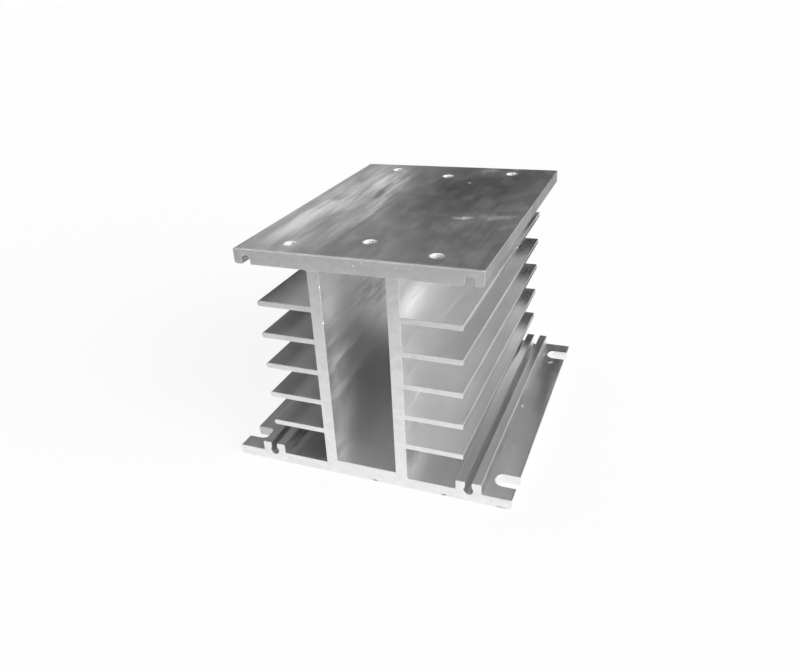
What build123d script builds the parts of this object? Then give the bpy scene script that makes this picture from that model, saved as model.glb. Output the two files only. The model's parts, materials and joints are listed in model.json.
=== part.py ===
from build123d import *
import os

# Relay heat sink: one aluminium extrusion, cut to length, drilled, tapped and slotted.
# Millimetres. X runs across the section, Y along the extrusion, Z up from the underside.
# The origin is the centre of the underside.

# Overall sizes
length = 110.0
height = 80.0
base_width = 100.0
top_width = 80.0

# Plates and webs
top_thick = 5.0
base_thick = 4.0
foot_thick = 3.7
channel_floor = 5.5
channel_width = 21.6
web_thick = 4.0

# Cooling fins, the same on both sides
fin_count = 5
fin_pitch = 11.25
fin_thick = 1.9
fin_span = 68.0

# Screw ports for a fan as wide as the top plate, two in the base and two under the plate.
# The inset is from the plate's side edge and from the underside to a port's centre.
port_inset = 4.25
port_radius = 1.6
port_neck = 2.2
rib_width = 8.6
rib_height = 7.4
groove_width = 3.0
groove_depth = 2.9

# Tapped holes in the top plate, at their tap drill size
tap_drill = 3.3
tap_mouth = 4.3
relay_pitch_x = 47.6
relay_pitch_y = 94.0
module_pitch_y = 80.0

# Open-ended screw slots in the feet, by their reach from the side edge to the round inner
# end and the distance from the cut end to their middle line
slot_width = 6.4
slot_reach = 7.7
slot_inset = 9.5

# Corner radii of the die
plate_root_radius = 1.0
base_root_radius = 0.4
channel_radius = 0.3
fin_root_radius = 0.2
top_edge_radius = 0.4
lip_radius = 0.9
foot_top_radius = 0.5
foot_bottom_radius = 1.0
rib_radius = 0.4
groove_edge_radius = 0.2

# The die leaves the left fins' tips almost fully round and the right ones' nearly square
left_tip_radius = 0.9
right_tip_radius = 0.3

# The part of a fin's thickness that one tip radius may take
full_round = 0.49

# How far a cutter runs past the metal that it cuts
overrun = 5.0

# Levels and half widths worked out from the sizes above
top_under = height - top_thick
channel_half = channel_width / 2
web_face = channel_half + web_thick
fin_reach = fin_span / 2
port_x = top_width / 2 - port_inset
rib_inner = port_x - rib_width / 2
rib_outer = port_x + rib_width / 2
groove_inner = port_x - groove_width / 2
groove_outer = port_x + groove_width / 2
groove_top = top_under + groove_depth
fin_middle = (base_thick + top_under) / 2
slot_x = base_width / 2 - slot_reach + slot_width / 2
slot_y = length / 2 - slot_inset
fin_centres = [fin_middle + fin_pitch * (i - (fin_count - 1) / 2) for i in range(fin_count)]


def block(x_low, x_high, z_low, z_high):
    """A rectangle of the section, given by its sides."""
    middle = ((x_low + x_high) / 2, (z_low + z_high) / 2)
    return Pos(*middle) * Rectangle(x_high - x_low, z_high - z_low)


def rounded(face, corners, radius):
    """The section with the named corners rounded. A corner is an (x, z) point."""
    wanted = [Vector(x, z) for x, z in corners]
    chosen = [
        vertex
        for vertex in face.vertices()
        if any((Vector(vertex.X, vertex.Y) - point).length < 1e-4 for point in wanted)
    ]
    return fillet(chosen, radius)


def half_section(tip_radius):
    """The right half of the section: half plates, one web, its fins, rib and ports."""
    section = block(0, top_width / 2, top_under, height)
    section += block(0, port_x, 0, base_thick)
    section += block(port_x, base_width / 2, 0, foot_thick)
    section += block(0, channel_half + web_thick / 2, 0, channel_floor)
    section += block(channel_half, web_face, 0, height)
    section += block(rib_inner, rib_outer, 0, rib_height)
    for z in fin_centres:
        section += block(channel_half, fin_reach, z - fin_thick / 2, z + fin_thick / 2)
    return round_corners(cut_ports(section), tip_radius)


def cut_ports(section):
    """Cut the keyhole port of the base rib and the groove under the top plate."""
    neck = port_neck / 2
    section -= Pos(port_x, port_inset) * Circle(port_radius)
    section -= block(port_x - neck, port_x + neck, port_inset, rib_height + overrun)
    arch = groove_top - groove_width / 2
    section -= block(groove_inner, groove_outer, top_under - overrun, arch)
    section -= Pos(port_x, arch) * Circle(groove_width / 2)
    return section


def round_corners(section, tip_radius):
    """Round the corners that the die rounds."""
    neck = port_neck / 2
    channel = [(channel_half, top_under), (channel_half, channel_floor)]
    section = rounded(section, channel, channel_radius)
    section = rounded(section, [(web_face, top_under)], plate_root_radius)
    section = rounded(section, [(web_face, base_thick)], base_root_radius)
    half = fin_thick / 2
    roots = [(web_face, z + side * half) for z in fin_centres for side in (-1, 1)]
    section = rounded(section, roots, fin_root_radius)
    tips = [(fin_reach, z + side * half) for z in fin_centres for side in (-1, 1)]
    section = rounded(section, tips, min(tip_radius, full_round * fin_thick))
    section = rounded(section, [(top_width / 2, height)], top_edge_radius)
    section = rounded(section, [(top_width / 2, top_under)], lip_radius)
    section = rounded(section, [(base_width / 2, foot_thick)], foot_top_radius)
    section = rounded(section, [(base_width / 2, 0)], foot_bottom_radius)
    ribs = [
        (rib_inner, rib_height),
        (rib_outer, rib_height),
        (rib_inner, base_thick),
        (rib_outer, foot_thick),
        (port_x - neck, rib_height),
        (port_x + neck, rib_height),
    ]
    section = rounded(section, ribs, rib_radius)
    grooves = [(groove_inner, top_under), (groove_outer, top_under)]
    return rounded(section, grooves, groove_edge_radius)


def extrusion():
    """The whole section, run to the cut length about the middle."""
    left = mirror(half_section(left_tip_radius), about=Plane.YZ)
    section = half_section(right_tip_radius) + left
    upright = Plane.XZ * section
    return extrude(upright, amount=length / 2, both=True)


def tapped_holes():
    """The cutters of the relay's four holes and the module's two, each with its mouth."""
    relay = GridLocations(relay_pitch_x, relay_pitch_y, 2, 2)
    module = GridLocations(0, module_pitch_y, 1, 2)
    mouth_depth = (tap_mouth - tap_drill) / 2
    drill = Pos(0, 0, height - top_thick / 2) * Cylinder(tap_drill / 2, top_thick + overrun)
    mouth = Pos(0, 0, height - mouth_depth / 2) * Cone(tap_drill / 2, tap_mouth / 2, mouth_depth)
    return [place * (drill + mouth) for place in [*relay.locations, *module.locations]]


def foot_slots():
    """The cutters of the four slots, each open at the foot's side edge."""
    middle = foot_thick / 2
    deep = foot_thick + 2 * overrun
    cutters = []
    for side in (-1, 1):
        for end in (-1, 1):
            round_end = Cylinder(slot_width / 2, deep)
            run = base_width / 2 + overrun - slot_x
            straight = Pos(side * run / 2, 0, 0) * Box(run, slot_width, deep)
            place = Pos(side * slot_x, end * slot_y, middle)
            cutters.append(place * (round_end + straight))
    return cutters


heat_sink = extrusion()
for cutter in tapped_holes() + foot_slots():
    heat_sink -= cutter

os.makedirs("parts", exist_ok=True)
export_step(heat_sink, "parts/heat_sink.step")
print("volume", round(heat_sink.volume), "mm3")
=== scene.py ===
"""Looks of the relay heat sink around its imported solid.

The one solid is redrawn as a finer mesh of the same outline, with broken edges, real
threads in the tapped holes and a few nicks, and gets three aluminium finishes: extruded
skin, sawn ends and machined cuts. Sizes are millimetres until a mesh is made.
"""

import json
import math
import random

import bmesh
import bpy
from mathutils import Matrix, Vector


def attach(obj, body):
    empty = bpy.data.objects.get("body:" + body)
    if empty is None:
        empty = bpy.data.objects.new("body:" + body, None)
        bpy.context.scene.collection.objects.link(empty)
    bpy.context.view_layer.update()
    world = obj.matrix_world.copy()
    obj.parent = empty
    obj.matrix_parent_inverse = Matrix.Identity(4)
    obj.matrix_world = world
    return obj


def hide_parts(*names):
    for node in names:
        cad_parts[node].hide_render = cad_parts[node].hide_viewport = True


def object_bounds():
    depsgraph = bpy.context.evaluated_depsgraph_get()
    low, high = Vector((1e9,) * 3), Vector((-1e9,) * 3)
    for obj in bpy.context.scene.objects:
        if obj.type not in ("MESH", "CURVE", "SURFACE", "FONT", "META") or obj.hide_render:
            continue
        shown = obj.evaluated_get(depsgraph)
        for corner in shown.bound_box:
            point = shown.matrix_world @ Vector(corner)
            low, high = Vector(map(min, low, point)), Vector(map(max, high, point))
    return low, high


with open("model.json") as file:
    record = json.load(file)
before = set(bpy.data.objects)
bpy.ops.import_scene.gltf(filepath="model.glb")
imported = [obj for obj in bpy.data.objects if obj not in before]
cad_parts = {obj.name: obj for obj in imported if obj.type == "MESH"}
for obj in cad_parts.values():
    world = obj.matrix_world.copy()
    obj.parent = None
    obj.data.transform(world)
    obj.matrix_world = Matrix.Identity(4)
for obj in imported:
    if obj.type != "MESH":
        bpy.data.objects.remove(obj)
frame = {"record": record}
cad_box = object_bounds()

MM = 0.001

# The overall sizes, and those of the holes, slots and ports, come from the frame
BASE_WIDTH, LENGTH, HEIGHT = [round(side / MM, 3) for side in cad_box[1] - cad_box[0]]
MOUNTS = {mount["name"]: mount["dims"] for mount in frame["record"]["mounts"]}
RELAY, MODULE = MOUNTS["relay_screws"], MOUNTS["module_screws"]
SLOTS, PORTS = MOUNTS["chassis_slots"], MOUNTS["base_ports_front"]

# Sizes of the section, as in the solid
TOP_WIDTH, TOP_THICK, BASE_THICK, FOOT_THICK = 80.0, 5.0, 4.0, 3.7
CHANNEL_WIDTH, CHANNEL_FLOOR, WEB_THICK = 21.6, 5.5, 4.0
FIN_SPAN, FIN_THICK, FIN_PITCH, FIN_COUNT = 68.0, 1.9, 11.25, 5
RIB_WIDTH, RIB_TOP, PORT_NECK = 8.6, 7.4, 2.2
GROOVE_WIDTH, GROOVE_DEPTH = 3.0, 2.9

# Radii that the die leaves at the section's corners
LEFT_TIP, RIGHT_TIP, FIN_ROOT = 0.9, 0.3, 0.2
PLATE_ROOT, BASE_ROOT, CHANNEL_CORNER = 1.0, 0.4, 0.3
TOP_CORNER, LIP_CORNER, GROOVE_CORNER = 0.4, 0.9, 0.2
FOOT_TOP, FOOT_BOTTOM, RIB_CORNER = 0.5, 1.0, 0.4

# Levels and half widths worked out from the sizes above
TOP_UNDER = HEIGHT - TOP_THICK
CHANNEL_HALF = CHANNEL_WIDTH / 2
WEB_FACE = CHANNEL_HALF + WEB_THICK
FIN_REACH = FIN_SPAN / 2
FIN_MIDDLE = (BASE_THICK + TOP_UNDER) / 2
FIN_LEVELS = [FIN_MIDDLE + FIN_PITCH * (i - (FIN_COUNT - 1) / 2) for i in range(FIN_COUNT)]

# A port's middle is as far from the underside as from the top plate's side
PORT_X, PORT_RADIUS = PORTS["spacing_x_mm"] / 2, PORTS["hole_r_mm"]
PORT_Z = TOP_WIDTH / 2 - PORT_X
RIB_IN, RIB_OUT = PORT_X - RIB_WIDTH / 2, PORT_X + RIB_WIDTH / 2

# Middles of the slots' round ends, and of the four relay holes and the two module holes
SLOT_X, SLOT_Y = SLOTS["spacing_x_mm"] / 2, SLOTS["spacing_y_mm"] / 2
SLOT_RADIUS = SLOTS["hole_r_mm"]
RELAY_X, RELAY_Y = RELAY["spacing_x_mm"] / 2, RELAY["spacing_y_mm"] / 2
MODULE_Y = MODULE["spacing_y_mm"] / 2
HOLES = [(x, y) for x in (-RELAY_X, RELAY_X) for y in (-RELAY_Y, RELAY_Y)]
HOLES += [(0.0, -MODULE_Y), (0.0, MODULE_Y)]

# The M4 thread: radii of its crest, root and mouth, its pitch, and the shares of the pitch that
# the crest and the root take
THREAD_CREST, THREAD_ROOT, THREAD_MOUTH = RELAY["hole_r_mm"], 2.0, 2.15
THREAD_PITCH, CREST_SHARE, ROOT_SHARE = 0.7, 0.25, 0.125

# Widths of the broken edges
SAWN_EDGE, SLOT_EDGE, HOLE_EDGE = 0.12, 0.15, 0.25

# How far the cutters of holes and slots run past the metal, and how wide a slot's cutter flares there
HOLE_OVERRUN, SLOT_OVERRUN, SLOT_FLARE = 0.6, 1.0, 2.0

# Steps along rounded corners in degrees: wide corners take the fine step
WIDE_CORNER, FINE_STEP, COARSE_STEP = 0.5, 12.0, 18.0

# Slots of the mesh's materials
SKIN, SAWN, CUT = 0, 1, 2


def arc(centre, radius, start, end, step=10.0):
    """Points of an arc in the section. Angles are degrees, from +X towards +Z."""
    count = max(2, math.ceil(abs(end - start) / step))
    angles = [math.radians(start + (end - start) * i / count) for i in range(count + 1)]
    return [(centre[0] + radius * math.cos(a), centre[1] + radius * math.sin(a)) for a in angles]


def rounded(corners):
    """The closed outline through corners (x, z, radius), with each corner rounded."""
    points = []
    for i, (x, z, radius) in enumerate(corners):
        if not radius:
            points.append((x, z))
            continue
        here = Vector((x, z))
        back = (Vector(corners[i - 1][:2]) - here).normalized()
        on = (Vector(corners[(i + 1) % len(corners)][:2]) - here).normalized()
        half = back.angle(on) / 2
        centre = here + (back + on).normalized() * radius / math.sin(half)
        first = here + back * radius / math.tan(half) - centre
        last = here + on * radius / math.tan(half) - centre
        start = math.degrees(math.atan2(first.y, first.x))
        turn = (math.degrees(math.atan2(last.y, last.x)) - start + 180) % 360 - 180
        step = FINE_STEP if radius > WIDE_CORNER else COARSE_STEP
        points += arc(centre, radius, start, start + turn, step)
    return points


def half_outline(tip_radius):
    """Corners of the right half of the outline, from the underside round to the top."""
    neck_in, neck_out = PORT_X - PORT_NECK / 2, PORT_X + PORT_NECK / 2
    gap = math.degrees(math.asin(PORT_NECK / 2 / PORT_RADIUS))
    port = arc((PORT_X, PORT_Z), PORT_RADIUS, 90 - gap, gap - 270)
    corners = [
        (BASE_WIDTH / 2, 0, FOOT_BOTTOM),
        (BASE_WIDTH / 2, FOOT_THICK, FOOT_TOP),
        (RIB_OUT, FOOT_THICK, RIB_CORNER),
        (RIB_OUT, RIB_TOP, RIB_CORNER),
        (neck_out, RIB_TOP, RIB_CORNER),
        *[(x, z, 0) for x, z in port],
        (neck_in, RIB_TOP, RIB_CORNER),
        (RIB_IN, RIB_TOP, RIB_CORNER),
        (RIB_IN, BASE_THICK, RIB_CORNER),
        (WEB_FACE, BASE_THICK, BASE_ROOT),
    ]
    for z in FIN_LEVELS:
        low, high = z - FIN_THICK / 2, z + FIN_THICK / 2
        corners += [(WEB_FACE, low, FIN_ROOT), (FIN_REACH, low, tip_radius)]
        corners += [(FIN_REACH, high, tip_radius), (WEB_FACE, high, FIN_ROOT)]
    half = GROOVE_WIDTH / 2
    arch = arc((PORT_X, TOP_UNDER + GROOVE_DEPTH - half), half, 180, 0)
    corners += [(WEB_FACE, TOP_UNDER, PLATE_ROOT), (PORT_X - half, TOP_UNDER, GROOVE_CORNER)]
    corners += [(x, z, 0) for x, z in arch]
    corners += [(PORT_X + half, TOP_UNDER, GROOVE_CORNER), (TOP_WIDTH / 2, TOP_UNDER, LIP_CORNER)]
    return corners + [(TOP_WIDTH / 2, HEIGHT, TOP_CORNER)]


def section():
    """The outer outline and the channel's, both with the metal on their left."""
    right = half_outline(RIGHT_TIP)
    left = [(-x, z, radius) for x, z, radius in reversed(half_outline(LEFT_TIP))]
    corners = [
        (-CHANNEL_HALF, CHANNEL_FLOOR),
        (-CHANNEL_HALF, TOP_UNDER),
        (CHANNEL_HALF, TOP_UNDER),
        (CHANNEL_HALF, CHANNEL_FLOOR),
    ]
    channel = [(x, z, CHANNEL_CORNER) for x, z in corners]
    return rounded(right + left), rounded(channel)


def inset(points, depth):
    """The outline moved into the metal on its left."""
    moved = []
    for i, point in enumerate(points):
        here = Vector(point)
        before = (here - Vector(points[i - 1])).normalized()
        after = (Vector(points[(i + 1) % len(points)]) - here).normalized()
        a, b = Vector((-before.y, before.x)), Vector((-after.y, after.x))
        moved.append(here + (a + b) * depth / (1 + a.dot(b)))
    return moved


def row(bm, points):
    """A loop of vertices through points (x, y, z)."""
    return [bm.verts.new(Vector(point) * MM) for point in points]


def strip(bm, first, second, slot):
    """The band of faces between two loops."""
    for i in range(len(first)):
        j = (i + 1) % len(first)
        bm.faces.new((first[i], first[j], second[j], second[i])).material_index = slot


def cap(bm, loops, slot):
    """The flat end between the outer loop and the channel's."""
    edges = [bm.edges.get((loop[i - 1], loop[i])) for loop in loops for i in range(len(loop))]
    made = bmesh.ops.triangle_fill(bm, edges=edges, use_beauty=True)
    for item in made["geom"]:
        if isinstance(item, bmesh.types.BMFace):
            item.material_index = slot


def extrusion():
    """The whole section, cut to length, with a small round on the sawn ends' edges."""
    bm = bmesh.new()
    end = LENGTH / 2
    turns = [math.radians(t) for t in (0, 30, 60, 90)]
    front = [(SAWN_EDGE * (1 - math.sin(t)), SAWN_EDGE * (1 - math.cos(t)) - end) for t in turns]
    stations = front + [(depth, -y) for depth, y in reversed(front)]
    first_loops, last_loops = [], []
    for outline in section():
        loops = [row(bm, [(x, y, z) for x, z in inset(outline, depth)]) for depth, y in stations]
        for k in range(len(loops) - 1):
            strip(bm, loops[k], loops[k + 1], SKIN if k == len(turns) - 1 else SAWN)
        first_loops.append(loops[0])
        last_loops.append(loops[-1])
    cap(bm, first_loops, SAWN)
    cap(bm, last_loops, SAWN)
    bmesh.ops.recalc_face_normals(bm, faces=bm.faces)
    return bm


def loft(bm, loops, slot):
    """A closed cutter through loops of points, from the lowest to the highest."""
    rows = [row(bm, loop) for loop in loops]
    for low, high in zip(rows, rows[1:]):
        strip(bm, low, high, slot)
    for end in (rows[0], rows[-1]):
        bm.faces.new(end).material_index = slot


def thread_radius(height, turn):
    """The tapped wall's radius at a height and a turn from 0 to 1. Flanks join crest and root."""
    phase = (height / THREAD_PITCH - turn) % 1.0
    flank = (1 - CREST_SHARE - ROOT_SHARE) / 2
    share = (abs(phase - 0.5) - CREST_SHARE / 2) / flank
    return THREAD_CREST + (THREAD_ROOT - THREAD_CREST) * min(max(share, 0.0), 1.0)


def tapped_hole(bm, x, y):
    """The cutter of one threaded hole, with a mouth of 45 degrees at each face of the plate."""
    sides, rows = 48, 96
    loops = []
    for k in range(rows + 1):
        height = -HOLE_OVERRUN + (TOP_THICK + 2 * HOLE_OVERRUN) * k / rows
        mouths = max(THREAD_MOUTH - TOP_THICK + height, THREAD_CREST + HOLE_EDGE - height)
        loop = []
        for i in range(sides):
            radius = max(thread_radius(height, i / sides), mouths)
            angle = 2 * math.pi * i / sides
            around = (x + radius * math.cos(angle), y + radius * math.sin(angle))
            loop.append((*around, TOP_UNDER + height))
        loops.append(loop)
    loft(bm, loops, CUT)


def slot_outline(grow):
    """A slot's outline about its round end's centre, flared where it leaves the foot."""
    run, wide = BASE_WIDTH / 2 - SLOT_X, SLOT_RADIUS + grow
    broken = wide + SLOT_EDGE
    upper = [(run + SLOT_FLARE, broken + SLOT_FLARE), (run, broken), (run - SLOT_EDGE, wide)]
    lower = [(x, -y) for x, y in reversed(upper)]
    return upper + arc((0, 0), wide, 90, 270, 6) + lower


def foot_slot(bm, side, end):
    """The cutter of one open-ended slot, with its edges broken at both faces."""
    loops = []
    for z, grow in [
        (-SLOT_OVERRUN, SLOT_EDGE + SLOT_OVERRUN),
        (0, SLOT_EDGE),
        (SLOT_EDGE, 0),
        (FOOT_THICK - SLOT_EDGE, 0),
        (FOOT_THICK, SLOT_EDGE),
        (FOOT_THICK + SLOT_OVERRUN, SLOT_EDGE + SLOT_OVERRUN),
    ]:
        outline = slot_outline(grow)
        loops.append([(side * (SLOT_X + x), end * (SLOT_Y + y), z) for x, y in outline])
    loft(bm, loops, CUT)


def nick(bm, place, size, seed):
    """The cutter of one small dent: a rough ball, stretched to size (x, y, z)."""
    draw = random.Random(seed)
    shrunk, swollen = 0.8, 1.15
    made = bmesh.ops.create_icosphere(bm, subdivisions=2, radius=1.0)
    for vertex in made["verts"]:
        vertex.co *= draw.uniform(shrunk, swollen)
        vertex.co = Vector(p * MM + c * s * MM for p, c, s in zip(place, vertex.co, size))
        for face in vertex.link_faces:
            face.material_index = CUT


# Dents: place and size. The near end has those that the photo shows on its edges, and the others
# are where hands and tools touch. A dent's place in the list sets its random shape.
NICKS = [
    ((-10.75, -55.1, 58.4), (0.30, 0.45, 0.95)),
    ((-10.78, -55.1, 54.6), (0.16, 0.30, 0.50)),
    ((14.3, -55.12, 78.4), (0.35, 0.22, 0.22)),
    ((-14.6, -55.1, 80.0), (0.80, 0.30, 0.12)),
    ((-33.9, -55.05, 62.4), (0.25, 0.30, 0.20)),
    ((-27.0, -55.08, 62.9), (0.60, 0.20, 0.12)),
    ((34.0, -55.05, 28.9), (0.25, 0.30, 0.25)),
    ((40.0, -38.0, 80.0), (0.20, 0.90, 0.15)),
    ((40.0, 21.0, 80.05), (0.18, 0.60, 0.18)),
    ((-40.0, -12.0, 80.05), (0.18, 0.80, 0.16)),
    ((50.05, -12.0, 3.7), (0.25, 0.70, 0.25)),
    ((-50.05, 17.0, 3.7), (0.25, 0.60, 0.25)),
    ((24.0, 55.1, 80.0), (0.70, 0.35, 0.18)),
    ((-10.75, 55.1, 31.0), (0.25, 0.35, 0.60)),
    ((34.05, 14.0, 62.0), (0.22, 0.50, 0.40)),
    ((-34.05, -20.0, 39.5), (0.22, 0.55, 0.40)),
    ((-33.5, -55.1, 80.0), (0.90, 0.30, 0.14)),
    ((0.9, -55.1, 77.8), (0.30, 0.22, 0.25)),
    ((3.5, -55.1, 79.0), (0.25, 0.22, 0.35)),
    ((-10.7, -55.1, 63.5), (0.14, 0.30, 0.80)),
    ((-10.8, -55.1, 70.0), (0.18, 0.30, 0.35)),
    ((-11.6, -55.1, 3.9), (0.50, 0.20, 0.60)),
    ((3.1, -55.1, 0.6), (1.50, 0.32, 0.50)),
    ((8.7, -55.1, 0.2), (0.80, 0.40, 0.50)),
    ((27.4, -55.1, 0.6), (1.30, 0.32, 0.50)),
    ((36.9, -55.1, 0.2), (1.20, 0.40, 0.45)),
    ((46.5, -55.1, 0.4), (1.80, 0.35, 0.50)),
    ((-30.5, -55.1, 0.1), (1.00, 0.35, 0.35)),
    ((17.5, -55.1, 0.1), (0.70, 0.35, 0.35)),
    ((42.7, -55.1, 2.0), (0.20, 0.20, 0.70)),
]


def mesh_object(name, bm, materials=()):
    """A new object from a bmesh."""
    mesh = bpy.data.meshes.new(name)
    bm.to_mesh(mesh)
    bm.free()
    for material in materials:
        mesh.materials.append(material)
    made = bpy.data.objects.new(name, mesh)
    bpy.context.scene.collection.objects.link(made)
    return made


def settle(made, modifier):
    """Applies the object's one modifier and removes it."""
    graph = bpy.context.evaluated_depsgraph_get()
    mesh = bpy.data.meshes.new_from_object(made.evaluated_get(graph), depsgraph=graph)
    old = made.data
    made.modifiers.remove(modifier)
    made.data = mesh
    mesh.name = made.name
    bpy.data.meshes.remove(old)


def heat_sink(materials):
    """The extrusion with its holes, slots and nicks cut out, shaded with crisp corners."""
    bm = bmesh.new()
    for x, y in HOLES:
        tapped_hole(bm, x, y)
    for side in (-1, 1):
        for end in (-1, 1):
            foot_slot(bm, side, end)
    for seed, (place, size) in enumerate(NICKS):
        nick(bm, place, size, seed)
    bmesh.ops.recalc_face_normals(bm, faces=bm.faces)
    cutter = mesh_object("cutter", bm, materials)
    body = mesh_object("heat_sink_body", extrusion(), materials)
    cut = body.modifiers.new("cut", "BOOLEAN")
    cut.operation, cut.solver, cut.object = "DIFFERENCE", "EXACT", cutter
    settle(body, cut)
    bpy.data.objects.remove(cutter)
    body.data.shade_smooth()
    body.data.set_sharp_from_angle(angle=math.radians(50))
    weigh = body.modifiers.new("weigh", "WEIGHTED_NORMAL")
    weigh.keep_sharp = True
    return body


def node(tree, kind, inputs=None, **settings):
    """A node with its settings, and its inputs set to values or linked to sockets."""
    made = tree.nodes.new(kind)
    for key, value in settings.items():
        setattr(made, key, value)
    for key, value in (inputs or {}).items():
        if isinstance(value, bpy.types.NodeSocket):
            tree.links.new(value, made.inputs[key])
        else:
            made.inputs[key].default_value = value
    return made


def calculate(tree, operation, a, b=0.0):
    """One step of arithmetic on one or two values."""
    return node(tree, "ShaderNodeMath", {0: a, 1: b}, operation=operation).outputs[0]


def ranged(tree, value, low, high, to_low=0.0, to_high=1.0, smooth=False):
    """The value moved from the range low to high into another, and held at its ends."""
    inputs = {"Value": value, "From Min": low, "From Max": high, "To Min": to_low, "To Max": to_high}
    shape = "SMOOTHSTEP" if smooth else "LINEAR"
    return node(tree, "ShaderNodeMapRange", inputs, interpolation_type=shape).outputs["Result"]


class Finish:
    """A material under construction: a Principled metal and the maps that drive it."""

    def __init__(self, name):
        self.material = bpy.data.materials.new(name)
        self.material.use_nodes = True
        self.tree = self.material.node_tree
        self.shader = self.tree.nodes["Principled BSDF"]
        self.shader.inputs["Metallic"].default_value = 1.0
        self.place = self.add("ShaderNodeTexCoord").outputs["Object"]
        self.axes = self.add("ShaderNodeSeparateXYZ", {0: self.place}).outputs

    def add(self, kind, inputs=None, **settings):
        """A node of this material."""
        return node(self.tree, kind, inputs, **settings)

    def math(self, operation, a, b=0.0):
        """One step of arithmetic on one or two values."""
        return calculate(self.tree, operation, a, b)

    def ramp(self, value, low, high, to_low=0.0, to_high=1.0):
        """The value moved from the range low to high into another, and held at its ends."""
        return ranged(self.tree, value, low, high, to_low, to_high)

    def total(self, parts):
        """The sum of (value, weight) pairs."""
        sum_so_far = 0.0
        for value, weight in parts:
            sum_so_far = self.math("ADD", self.math("MULTIPLY", value, weight), sum_so_far)
        return sum_so_far

    def grains(self, place, size, shift=(0.0, 0.0, 0.0)):
        """The place counted in grains of size (x, y, z) in millimetres."""
        inputs = {"Vector": place, "Scale": [1 / (s * MM) for s in size], "Location": shift}
        return self.add("ShaderNodeMapping", inputs).outputs[0]

    def noise(self, size, detail=2.0, rough=0.5, turn=(0.0, 0.0, 0.0), shift=(0.0, 0.0, 0.0)):
        """Noise with grains of size (x, y, z) in millimetres, after a turn in degrees."""
        inputs = {"Vector": self.place, "Rotation": [math.radians(t) for t in turn]}
        turned = self.add("ShaderNodeMapping", inputs).outputs[0]
        place = self.grains(turned, size, shift)
        inputs = {"Vector": place, "Scale": 1.0, "Detail": detail, "Roughness": rough}
        return self.add("ShaderNodeTexNoise", inputs).outputs["Fac"]

    def warp(self, size, amount):
        """The place moved by noise with grains of size, up to an amount (x, y, z) in millimetres."""
        place = self.grains(self.place, size)
        inputs = {"Vector": place, "Scale": 1.0, "Detail": 4.0, "Roughness": 0.6}
        grain = self.add("ShaderNodeTexNoise", inputs).outputs["Color"]
        inputs = {0: grain, 1: [2 * a * MM for a in amount], 2: [-a * MM for a in amount]}
        shift = self.add("ShaderNodeVectorMath", inputs, operation="MULTIPLY_ADD").outputs[0]
        inputs = {0: self.place, 1: shift}
        return self.add("ShaderNodeVectorMath", inputs, operation="ADD").outputs[0]

    def patches(self, place, spots):
        """The sum of soft patches: (strength, place, size, turn) in millimetres and degrees."""
        parts = []
        for strength, middle, size, turn in spots:
            inputs = {
                "Vector": place,
                "Location": [m * MM for m in middle],
                "Rotation": [math.radians(t) for t in turn],
                "Scale": [s * MM for s in size],
            }
            near = self.add("ShaderNodeMapping", inputs, vector_type="TEXTURE").outputs[0]
            reach = self.add("ShaderNodeVectorMath", {0: near}, operation="LENGTH").outputs["Value"]
            parts.append((self.ramp(reach, 1.0, 0.25), strength))
        return self.total(parts)

    def inside(self, *ranges):
        """1 where each coordinate lies in its range (coordinate, low, high) in millimetres, else 0."""
        found = 1.0
        for value, low, high in ranges:
            found = self.math("MULTIPLY", found, self.math("GREATER_THAN", value, low * MM))
            found = self.math("MULTIPLY", found, self.math("LESS_THAN", value, high * MM))
        return found

    def grey(self, socket, value, low, high):
        """Gives a colour of the shader a grey that runs from low to high with a value from 0 to 1."""
        # Inputs 6 and 7 and output 2 are the mix's colours
        inputs = {"Factor": value, 6: (low, low, low, 1.0), 7: (high, high, high, 1.0)}
        mixed = self.add("ShaderNodeMix", inputs, data_type="RGBA")
        self.tree.links.new(mixed.outputs[2], self.shader.inputs[socket])

    def drive(self, socket, value, low, high):
        """Gives a number of the shader a range from low to high with a value from 0 to 1."""
        self.tree.links.new(self.ramp(value, 0, 1, low, high), self.shader.inputs[socket])

    def bump(self, value, height):
        """Bump of a height in millimetres."""
        inputs = {"Height": value, "Distance": height * MM, "Strength": 1.0}
        made = self.add("ShaderNodeBump", inputs)
        self.tree.links.new(made.outputs["Normal"], self.shader.inputs["Normal"])


# The left wall of the channel
WALL = -CHANNEL_HALF

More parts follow.
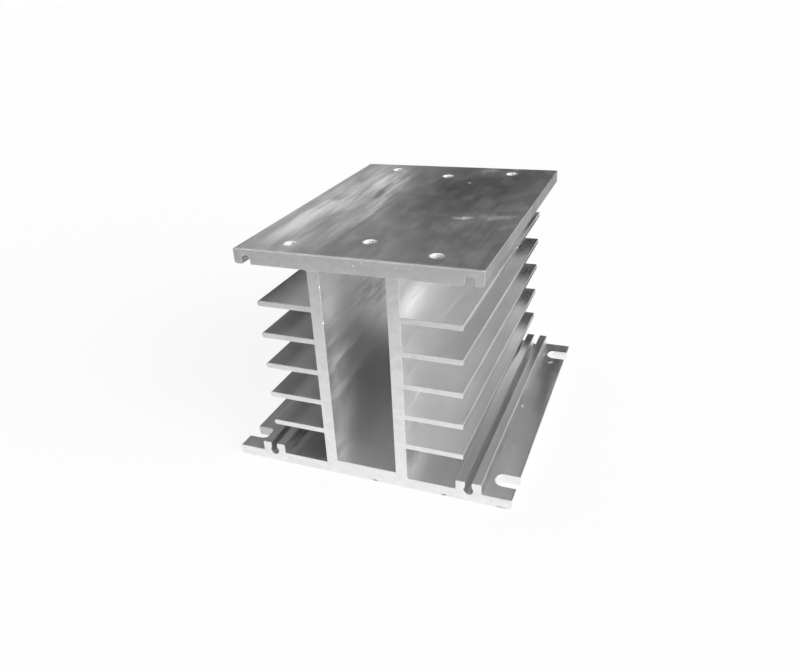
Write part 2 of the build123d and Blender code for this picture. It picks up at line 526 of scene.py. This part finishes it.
# Patches on the skin: strength, place, size and turn. A negative strength takes some away. This first
# list is haze, which is pale and matt; much of it is painted reflection and glint, on the top plate's
# left, on the channel's left wall and in the first cell on the right.
HAZE_AND_GLINTS = [
    # Painted reflection: the pale bands and streaks on the top plate's left
    (0.60, (-29.0, 0.0, HEIGHT), (20.0, 88.0, 3.0), (0, 0, 0)),
    (0.60, (-31.5, -24.0, HEIGHT), (5.5, 27.0, 3.0), (0, 0, 0)),
    (0.40, (-22.5, 29.0, HEIGHT), (7.5, 15.0, 3.0), (0, 0, 8)),
    (0.40, (-14.0, 2.0, HEIGHT), (3.0, 36.0, 3.0), (0, 0, 6)),
    (-0.50, (-24.7, 11.0, HEIGHT), (1.3, 13.0, 3.0), (0, 0, 3)),
    (-0.50, (-18.0, 13.0, HEIGHT), (1.5, 14.0, 3.0), (0, 0, 5)),
    (-0.22, (-33.0, 30.0, HEIGHT), (4.0, 7.0, 3.0), (0, 0, 0)),
    (0.35, (-14.0, 25.0, HEIGHT), (2.6, 15.0, 3.0), (0, 0, 4)),
    (0.20, (-14.5, -33.0, HEIGHT), (4.0, 24.0, 3.0), (0, 0, 0)),
    (0.18, (-10.0, -5.0, HEIGHT), (4.5, 42.0, 3.0), (0, 0, 0)),
    (0.30, (-20.0, 42.0, HEIGHT), (3.2, 8.0, 3.0), (0, 0, 0)),
    (-0.35, (-31.5, 4.0, HEIGHT), (4.5, 7.0, 3.0), (0, 0, 0)),
    (-0.40, (-22.0, -22.0, HEIGHT), (4.0, 18.0, 3.0), (0, 0, 0)),
    (0.65, (21.0, -12.0, HEIGHT), (4.5, 2.0, 3.0), (0, 0, 8)),
    (0.22, (32.0, -9.0, HEIGHT), (10.0, 3.2, 3.0), (0, 0, 14)),
    (0.25, (14.5, 51.0, HEIGHT), (5.0, 5.0, 3.0), (0, 0, 0)),
    (0.80, (11.2, 31.6, HEIGHT), (0.7, 2.4, 3.0), (0, 0, 12)),
    # Painted light: light streaks on the channel's left wall
    (-0.15, (WALL, -57.0, 38.0), (3.0, 8.0, 52.0), (0, 0, 0)),
    (0.35, (WALL, -47.0, 36.0), (3.0, 22.0, 46.0), (0, 0, 0)),
    (0.35, (WALL, -46.0, 61.0), (3.0, 13.0, 8.0), (0, 0, 0)),
    (0.40, (WALL, -42.0, 42.0), (3.0, 17.0, 3.2), (6, 0, 0)),
    (0.35, (WALL, -39.0, 31.0), (3.0, 18.0, 3.6), (6, 0, 0)),
    (0.25, (WALL, -42.0, 15.0), (3.0, 17.0, 9.0), (0, 0, 0)),
    (0.60, (WALL, -19.0, 55.6), (3.0, 8.0, 1.2), (0, 0, 0)),
    (0.50, (WALL, -8.7, 48.0), (3.0, 7.0, 3.0), (0, 0, 0)),
    # Painted glint in the first cell on the right, near the top fin's root, and a painted light streak
    # along that fin's top
    (0.50, (15.5, -44.0, 65.5), (5.5, 12.0, 6.5), (0, 0, 0)),
    (0.30, (15.5, -36.0, 63.0), (5.5, 19.0, 6.0), (0, 0, 0)),
    (0.60, (27.4, -36.0, 63.0), (0.8, 20.0, 1.0), (0, 0, -3)),
    (0.30, (24.0, -32.0, 30.0), (12.0, 30.0, 24.0), (0, 0, 0)),
    (0.16, (28.0, 55.0, 38.0), (14.0, 26.0, 38.0), (0, 0, 0)),
    (0.25, (49.6, 22.0, FOOT_THICK), (1.6, 34.0, 2.0), (0, 0, 0)),
    (1.00, (41.5, 44.7, FOOT_THICK), (0.8, 1.3, 1.0), (0, 0, 0)),
    (1.00, (45.1, 39.1, FOOT_THICK), (0.8, 1.4, 1.0), (0, 0, 0)),
    (1.00, (47.7, 29.1, FOOT_THICK), (0.7, 1.2, 1.0), (0, 0, 0)),
    (0.80, (41.4, 0.4, FOOT_THICK), (0.8, 1.4, 1.0), (0, 0, 0)),
    (0.60, (43.7, -26.4, FOOT_THICK), (1.2, 1.6, 1.0), (0, 0, 0)),
]

# Painted shade: these are smoother and darker, on the top plate's right, the right fins' rear ends,
# the base beside the right rib and inside the right groove
PAINTED_SHADE = [
    (0.66, (15.0, 27.0, HEIGHT), (31.0, 48.0, 3.0), (0, 0, -6)),
    (0.15, (24.0, -26.0, HEIGHT), (22.0, 22.0, 3.0), (0, 0, 0)),
    (0.50, (28.0, 53.0, 38.0), (14.0, 38.0, 38.0), (0, 0, 0)),
    (0.60, (25.0, -22.0, BASE_THICK), (11.0, 45.0, 2.0), (0, 0, 0)),
    (1.00, (35.2, -53.0, 76.5), (2.6, 9.0, 3.2), (0, 0, 0)),
]

# Painted shade, darkest at a glancing look: inside the right groove, on the channel's left wall, on
# the top plate's right, along the right of the base and on the right fins
GLANCING_SHADE = [
    (1.40, (35.2, -53.0, 76.5), (2.6, 9.0, 3.2), (0, 0, 0)),
    (0.90, (WALL, -12.0, 60.0), (3.0, 40.0, 30.0), (0, 0, 0)),
    (0.20, (15.0, 27.0, HEIGHT), (31.0, 46.0, 3.0), (0, 0, -6)),
    (0.45, (WALL, 5.0, 40.0), (3.0, 12.0, 9.0), (0, 0, 0)),
    (0.30, (40.5, -18.0, 5.0), (5.0, 62.0, 5.0), (0, 0, 0)),
    (0.75, (28.0, 16.0, 64.0), (14.0, 46.0, 9.0), (0, 0, 0)),
    (0.35, (28.0, 34.0, 46.0), (14.0, 32.0, 22.0), (0, 0, 0)),
]

# The rear ends of the right fins mirror more crisply
POLISHED = [(0.10, (28.0, 45.0, 38.0), (16.0, 34.0, 48.0), (0, 0, 0))]

# The skin's range of roughness, before polish
LEAST_ROUGH, MOST_ROUGH = 0.28, 0.60


def handling_scratches(finish):
    """Fine scratches in three directions."""
    marks = []
    for turn, size in [(62, (0.06, 9, 3)), (-38, (0.05, 6, 3)), (81, (0.07, 12, 3))]:
        scratch = finish.noise(size, 1, 0.4, (0, 0, turn))
        marks.append((finish.ramp(scratch, 0.70, 0.74), 0.33))
    return finish.total(marks)


def highlight_rings_and_edges(finish):
    """Painted highlights: pale rings round the holes and a light line along the top plate's front
    edge, and a pale line on the right rib's outer edge.
    """
    rings = [(0.7, (x, y, HEIGHT), (2.9, 2.9, 1.0), (0, 0, 0)) for x, y in HOLES]
    front_edge_highlight = (0.35, (0.0, -LENGTH / 2, HEIGHT), (60.0, 1.2, 1.0), (0, 0, 0))
    rib_edge = (0.6, (RIB_OUT, 0.0, RIB_TOP), (0.4, 90.0, 0.4), (0, 0, 0))
    return finish.patches(finish.place, [*rings, front_edge_highlight, rib_edge])


def painted_part_shade(finish):
    """Painted shade on the top plate's sides, the ribs, the fins' tips below their upper edges, and
    the left side.
    """
    across, up = finish.axes["X"], finish.axes["Z"]
    side = finish.math("ABSOLUTE", across)
    lowest = (FIN_LEVELS[0] - FIN_THICK / 2) * MM
    on_fin = finish.math("MODULO", finish.math("SUBTRACT", up, lowest), FIN_PITCH * MM)
    below_plate = TOP_UNDER - 3
    tips = finish.inside(
        (side, FIN_REACH - 0.35, FIN_REACH + 1),
        (up, RIB_TOP + 1.6, below_plate),
        (on_fin, -1, FIN_THICK - 0.45),
    )
    plate_half = TOP_WIDTH / 2
    plate = finish.inside((side, plate_half - 0.3, plate_half + 1), (up, TOP_UNDER - 1, HEIGHT - 0.25))
    ribs = finish.inside((side, RIB_OUT - 0.15, RIB_OUT + 1), (up, FOOT_THICK + 0.1, RIB_TOP - 0.2))
    left = finish.inside(
        (across, -BASE_WIDTH / 2 - 0.5, -WEB_FACE - 0.1),
        (up, FOOT_THICK - 0.5, below_plate),
    )
    return finish.total([(tips, 0.8), (plate, 0.8), (ribs, 0.3), (left, 0.72)])


def skin_haze_and_glints(finish, feathered, streaks, part_shade):
    """Pale streaky patches, some real and some painted reflections and glints, with smudges, specks
    and painted highlights round the holes and along edges, and little of it where parts are painted
    with shade.
    """
    streaky = finish.ramp(streaks, 0.42, 0.58, 0.55, 1.12)
    smudges = finish.noise((6, 11, 6), 4, 0.6, shift=(1.0, 6.0, 3.0))
    specks = finish.noise((0.55, 0.8, 0.55), 1, 0.5, shift=(9.0, 4.0, 2.0))
    haze_and_glints = finish.total([
        (finish.math("MULTIPLY", finish.patches(feathered, HAZE_AND_GLINTS), streaky), 1.0),
        (finish.ramp(specks, 0.775, 0.80), 0.7),
        (highlight_rings_and_edges(finish), 1.0),
        (finish.ramp(smudges, 0.45, 0.75, 0.0, 0.13), 1.0),
    ])
    return finish.math("MINIMUM", haze_and_glints, finish.math("SUBTRACT", 1.0, part_shade))


def extruded_skin():
    """Mill finish as the die leaves it: lines along the extrusion, soft clouds and handling marks,
    with painted shade, reflections and glints laid on it.
    """
    finish = Finish("aluminium_skin")
    fine = finish.noise((0.24, 60, 0.24), 2)
    lines = finish.noise((0.7, 80, 0.7), 3)
    bands = finish.noise((4.5, 140, 4.5), 2)
    clouds = finish.noise((12, 30, 12), 4, 0.6)
    stains = finish.noise((7, 12, 7), 5, 0.65, shift=(3.0, 1.0, 7.0))
    streaks = finish.noise((1.8, 25, 1.8), 4, 0.6, shift=(5.0, 2.0, 1.0))
    scratches = handling_scratches(finish)
    # The patches' edges are feathered along the extrusion
    feathered = finish.warp((2.5, 12.0, 2.5), (2.2, 5.0, 2.2))
    part_shade = painted_part_shade(finish)
    haze_and_glints = skin_haze_and_glints(finish, feathered, streaks, part_shade)
    painted_shade = finish.patches(feathered, PAINTED_SHADE)
    streaky = finish.ramp(streaks, 0.40, 0.60, 1.1, 0.6)
    glancing_shade = finish.math("MULTIPLY", finish.patches(feathered, GLANCING_SHADE), streaky)
    glancing_shade = finish.math("MINIMUM", finish.math("ADD", glancing_shade, part_shade), 1.0)
    tone = finish.total([(bands, 0.45), (clouds, 0.35), (stains, 0.2)])
    tone = finish.ramp(tone, 0.32, 0.68)
    # Painted shade darkens the base colour, and at a glancing look the specular tint too
    tone = finish.total([(tone, 0.17), (painted_shade, -0.35), (glancing_shade, -0.8), (1.0, 0.83)])
    finish.grey("Base Color", tone, 0.55, 0.97)
    finish.grey("Specular Tint", glancing_shade, 1.0, 0.0)
    # Haze, painted reflections and glints make the metal paler and more matt
    finish.drive("Metallic", haze_and_glints, 1.0, 0.35)
    rough = finish.total([(clouds, 0.5), (lines, 0.3), (stains, 0.2), (scratches, 0.5)])
    rough = finish.ramp(rough, 0.3, 0.75)
    rough = finish.total([(rough, 0.42), (haze_and_glints, 0.4), (painted_shade, -0.3), (1.0, 0.14)])
    least = finish.math("SUBTRACT", LEAST_ROUGH, finish.patches(finish.place, POLISHED))
    finish.drive("Roughness", rough, least, MOST_ROUGH)
    relief = finish.total([(lines, 0.5), (fine, 0.1), (bands, 1.0), (scratches, -0.5)])
    finish.bump(relief, 0.004)
    return finish.material


def sawn_end():
    """The cut-off faces: pale and matt, with the blade's shallow arcs."""
    finish = Finish("aluminium_sawn")
    across, up = finish.axes["X"], finish.axes["Z"]
    blade_middle, tooth_mark, wobble = (-75.0, 0.0, 245.0), 0.22, 0.6
    inputs = {0: finish.place, 1: [m * MM for m in blade_middle]}
    reach = finish.add("ShaderNodeVectorMath", inputs, operation="DISTANCE").outputs["Value"]
    waves = finish.math("MULTIPLY", finish.noise((9, 9, 9), 2), wobble * MM)
    reach = finish.math("ADD", reach, waves)
    inputs = {"W": finish.math("MULTIPLY", reach, 1 / (tooth_mark * MM)), "Scale": 1.0, "Detail": 3.0}
    arcs = finish.add("ShaderNodeTexNoise", inputs, noise_dimensions="1D").outputs["Fac"]
    mottle = finish.noise((2.2, 2.2, 2.2), 4, 0.6)
    smears = finish.noise((7, 7, 3), 3, 0.6, shift=(2.0, 2.0, 2.0))
    grain = finish.noise((0.18, 0.18, 0.18), 2)
    # Painted light and shade: the sawn face is lighter low down, where it mirrors the white floor, and
    # a little darker towards the top plate; it is also darker towards the plate's right end
    low = finish.ramp(up, 0.0, HEIGHT * MM, 0.60, 0.0)
    to_right = finish.ramp(across, -10 * MM, TOP_WIDTH / 2 * MM)
    right = finish.math("MULTIPLY", to_right, finish.ramp(up, (TOP_UNDER - 5) * MM, TOP_UNDER * MM))
    # Painted highlight: a light line along the plate's top edge
    edge_highlight = finish.ramp(up, (HEIGHT - 0.55) * MM, (HEIGHT - 0.35) * MM)
    tone = finish.total([(mottle, 0.45), (arcs, 0.15), (smears, 0.40)])
    tone = finish.ramp(tone, 0.36, 0.64)
    tone = finish.total([(tone, 0.42), (low, 1.0), (right, -0.3), (edge_highlight, 0.6)])
    finish.grey("Base Color", tone, 0.62, 0.95)
    finish.drive("Roughness", finish.total([(mottle, 0.6), (grain, 0.4)]), 0.38, 0.55)
    finish.bump(finish.total([(arcs, 0.8), (grain, 0.35)]), 0.006)
    return finish.material


def machined_cut():
    """Walls of the slots and tapped holes: bright, with the tool's rings."""
    finish = Finish("aluminium_cut")
    rings = finish.noise((30, 30, 0.12), 3)
    grain = finish.noise((0.3, 0.3, 0.2), 2)
    # Painted shade: the left slots' walls are darker, as in shadow. The threads are made matt so the
    # holes show pale, as a painted glint
    bright = finish.ramp(finish.axes["X"], -40 * MM, -39 * MM, 0.0, 0.75)
    thread = finish.ramp(finish.axes["Z"], (TOP_UNDER - 5) * MM, (TOP_UNDER - 4) * MM)
    finish.grey("Base Color", finish.total([(rings, 0.25), (bright, 1.0)]), 0.50, 0.96)
    finish.drive("Metallic", thread, 1.0, 0.3)
    finish.drive("Roughness", finish.total([(grain, 1.0), (thread, 1.0)]), 0.22, 0.36)
    finish.bump(finish.total([(rings, 0.8), (grain, 0.2)]), 0.004)
    return finish.material


def white_floor():
    """A large white floor. It keeps a soft shadow, and metal mirrors it as white as it looks."""
    bm = bmesh.new()
    bmesh.ops.create_circle(bm, cap_ends=True, segments=96, radius=30.0)
    floor = mesh_object("floor", bm)
    material = bpy.data.materials.new("white_floor")
    material.use_nodes = True
    tree = material.node_tree
    tree.nodes.clear()
    rays = node(tree, "ShaderNodeLightPath").outputs
    place = node(tree, "ShaderNodeTexCoord").outputs["Object"]
    # Metal sees the floor fall off towards the front left, where the room is dim
    front_left = (-0.5, -0.866, 0.0)
    start, end, least = 0.15, 0.32, 0.35
    inputs = {0: place, 1: front_left}
    out = node(tree, "ShaderNodeVectorMath", inputs, operation="DOT_PRODUCT").outputs["Value"]
    fall = ranged(tree, out, start, end, 1.0, least, smooth=True)
    fall = calculate(tree, "MAXIMUM", fall, rays["Is Camera Ray"])
    inputs = {"Red": fall, "Green": fall, "Blue": fall}
    paint = node(tree, "ShaderNodeCombineColor", inputs).outputs[0]
    matt = node(tree, "ShaderNodeBsdfDiffuse", {"Color": paint}).outputs[0]
    white = node(tree, "ShaderNodeEmission", {"Color": paint, "Strength": 1.0}).outputs[0]
    seen = calculate(tree, "MAXIMUM", rays["Is Camera Ray"], rays["Is Glossy Ray"])
    seen = calculate(tree, "MAXIMUM", seen, rays["Is Transmission Ray"])
    # The rest of the floor's look is matt, and keeps the shadow
    white_share = 0.86
    share = calculate(tree, "MULTIPLY", seen, white_share)
    mixed = node(tree, "ShaderNodeMixShader", {0: share, 1: matt, 2: white}).outputs[0]
    node(tree, "ShaderNodeOutputMaterial", {"Surface": mixed})
    floor.data.materials.append(material)


def photo_camera():
    """The camera at the photo's place, fitted to the section's edges."""
    azimuth, elevation, roll = (math.radians(a) for a in (24.799, 28.648, -3.990))
    # Its place is in metres, and the focal length, picture size and principal point are in pixels
    place = (0.084801, -0.229451, 0.150770)
    focal, width, height = 705.999, 800, 672
    middle = (370.2, 364.158)
    away = Vector((
        math.sin(azimuth) * math.cos(elevation),
        -math.cos(azimuth) * math.cos(elevation),
        math.sin(elevation),
    ))
    level = Vector((math.cos(azimuth), math.sin(azimuth), 0.0))
    up = away.cross(level)
    right = math.cos(roll) * level + math.sin(roll) * up
    up = math.cos(roll) * up - math.sin(roll) * level
    data = bpy.data.cameras.new("camera")
    data.sensor_width = 36.0
    data.lens = focal / width * data.sensor_width
    data.shift_x = (width / 2 - middle[0]) / width
    data.shift_y = (middle[1] - height / 2) / width
    data.clip_start, data.clip_end = 0.01, 100.0
    made = bpy.data.objects.new("camera", data)
    bpy.context.scene.collection.objects.link(made)
    turn = Matrix((right, up, away)).transposed().to_4x4()
    made.matrix_world = Matrix.Translation(place) @ turn
    bpy.context.scene.camera = made


# Soft lights of the room: strength, azimuth from +Y towards +X, elevation, and tightness
LIGHTS = [(8.8, 108.8, 21.3, 11.3), (3.1, -79.7, 68.7, 17.2)]


def light_the_room():
    """Plain studio light: a dim room, a white wall behind, a grey one in front and two soft lights."""
    world = bpy.data.worlds.new("studio")
    world.use_nodes = True
    tree = world.node_tree
    # The direction is a unit vector, so its Z is the sine of the elevation
    toward = node(tree, "ShaderNodeTexCoord").outputs["Generated"]
    parts = node(tree, "ShaderNodeSeparateXYZ", {0: toward}).outputs
    grey, white, dim = 0.45, 0.97, 0.02
    wall = ranged(tree, parts["Y"], -0.3, 0.3, grey, white, smooth=True)
    # The wall is lower behind on the right than on the left
    left_top, right_top, fade = 0.22, 0.13, 0.12
    top = ranged(tree, parts["X"], -0.45, -0.25, left_top, right_top, smooth=True)
    foot = calculate(tree, "SUBTRACT", top, fade)
    light = ranged(tree, parts["Z"], foot, top, wall, dim, smooth=True)
    # Below the floor it is dim, which shows only to a camera that looks up from there
    below = ranged(tree, parts["Z"], -0.30, -0.02, 0.40, 1.0, smooth=True)
    light = calculate(tree, "MULTIPLY", light, below)
    for strength, azimuth, elevation, tightness in LIGHTS:
        around, up = math.radians(azimuth), math.radians(elevation)
        aim = (math.sin(around) * math.cos(up), math.cos(around) * math.cos(up), math.sin(up))
        inputs = {0: toward, 1: aim}
        facing = node(tree, "ShaderNodeVectorMath", inputs, operation="DOT_PRODUCT").outputs["Value"]
        away = calculate(tree, "MULTIPLY", calculate(tree, "SUBTRACT", facing, 1.0), tightness)
        glow = calculate(tree, "MULTIPLY", calculate(tree, "EXPONENT", away), strength)
        light = calculate(tree, "ADD", light, glow)
    # The camera sees plain white instead
    seen = node(tree, "ShaderNodeLightPath").outputs["Is Camera Ray"]
    light = node(tree, "ShaderNodeMix", {"Factor": seen, "A": light, "B": 1.0}).outputs["Result"]
    inputs = {"Red": light, "Green": light, "Blue": light}
    shade = node(tree, "ShaderNodeCombineColor", inputs).outputs[0]
    tree.links.new(shade, tree.nodes["Background"].inputs["Color"])
    bpy.context.scene.world = world


materials = [extruded_skin(), sawn_end(), machined_cut()]
body = heat_sink(materials)
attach(body, "root")
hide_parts("heat_sink")

white_floor()
light_the_room()
photo_camera()

view = bpy.context.scene.view_settings
view.view_transform = "Standard"
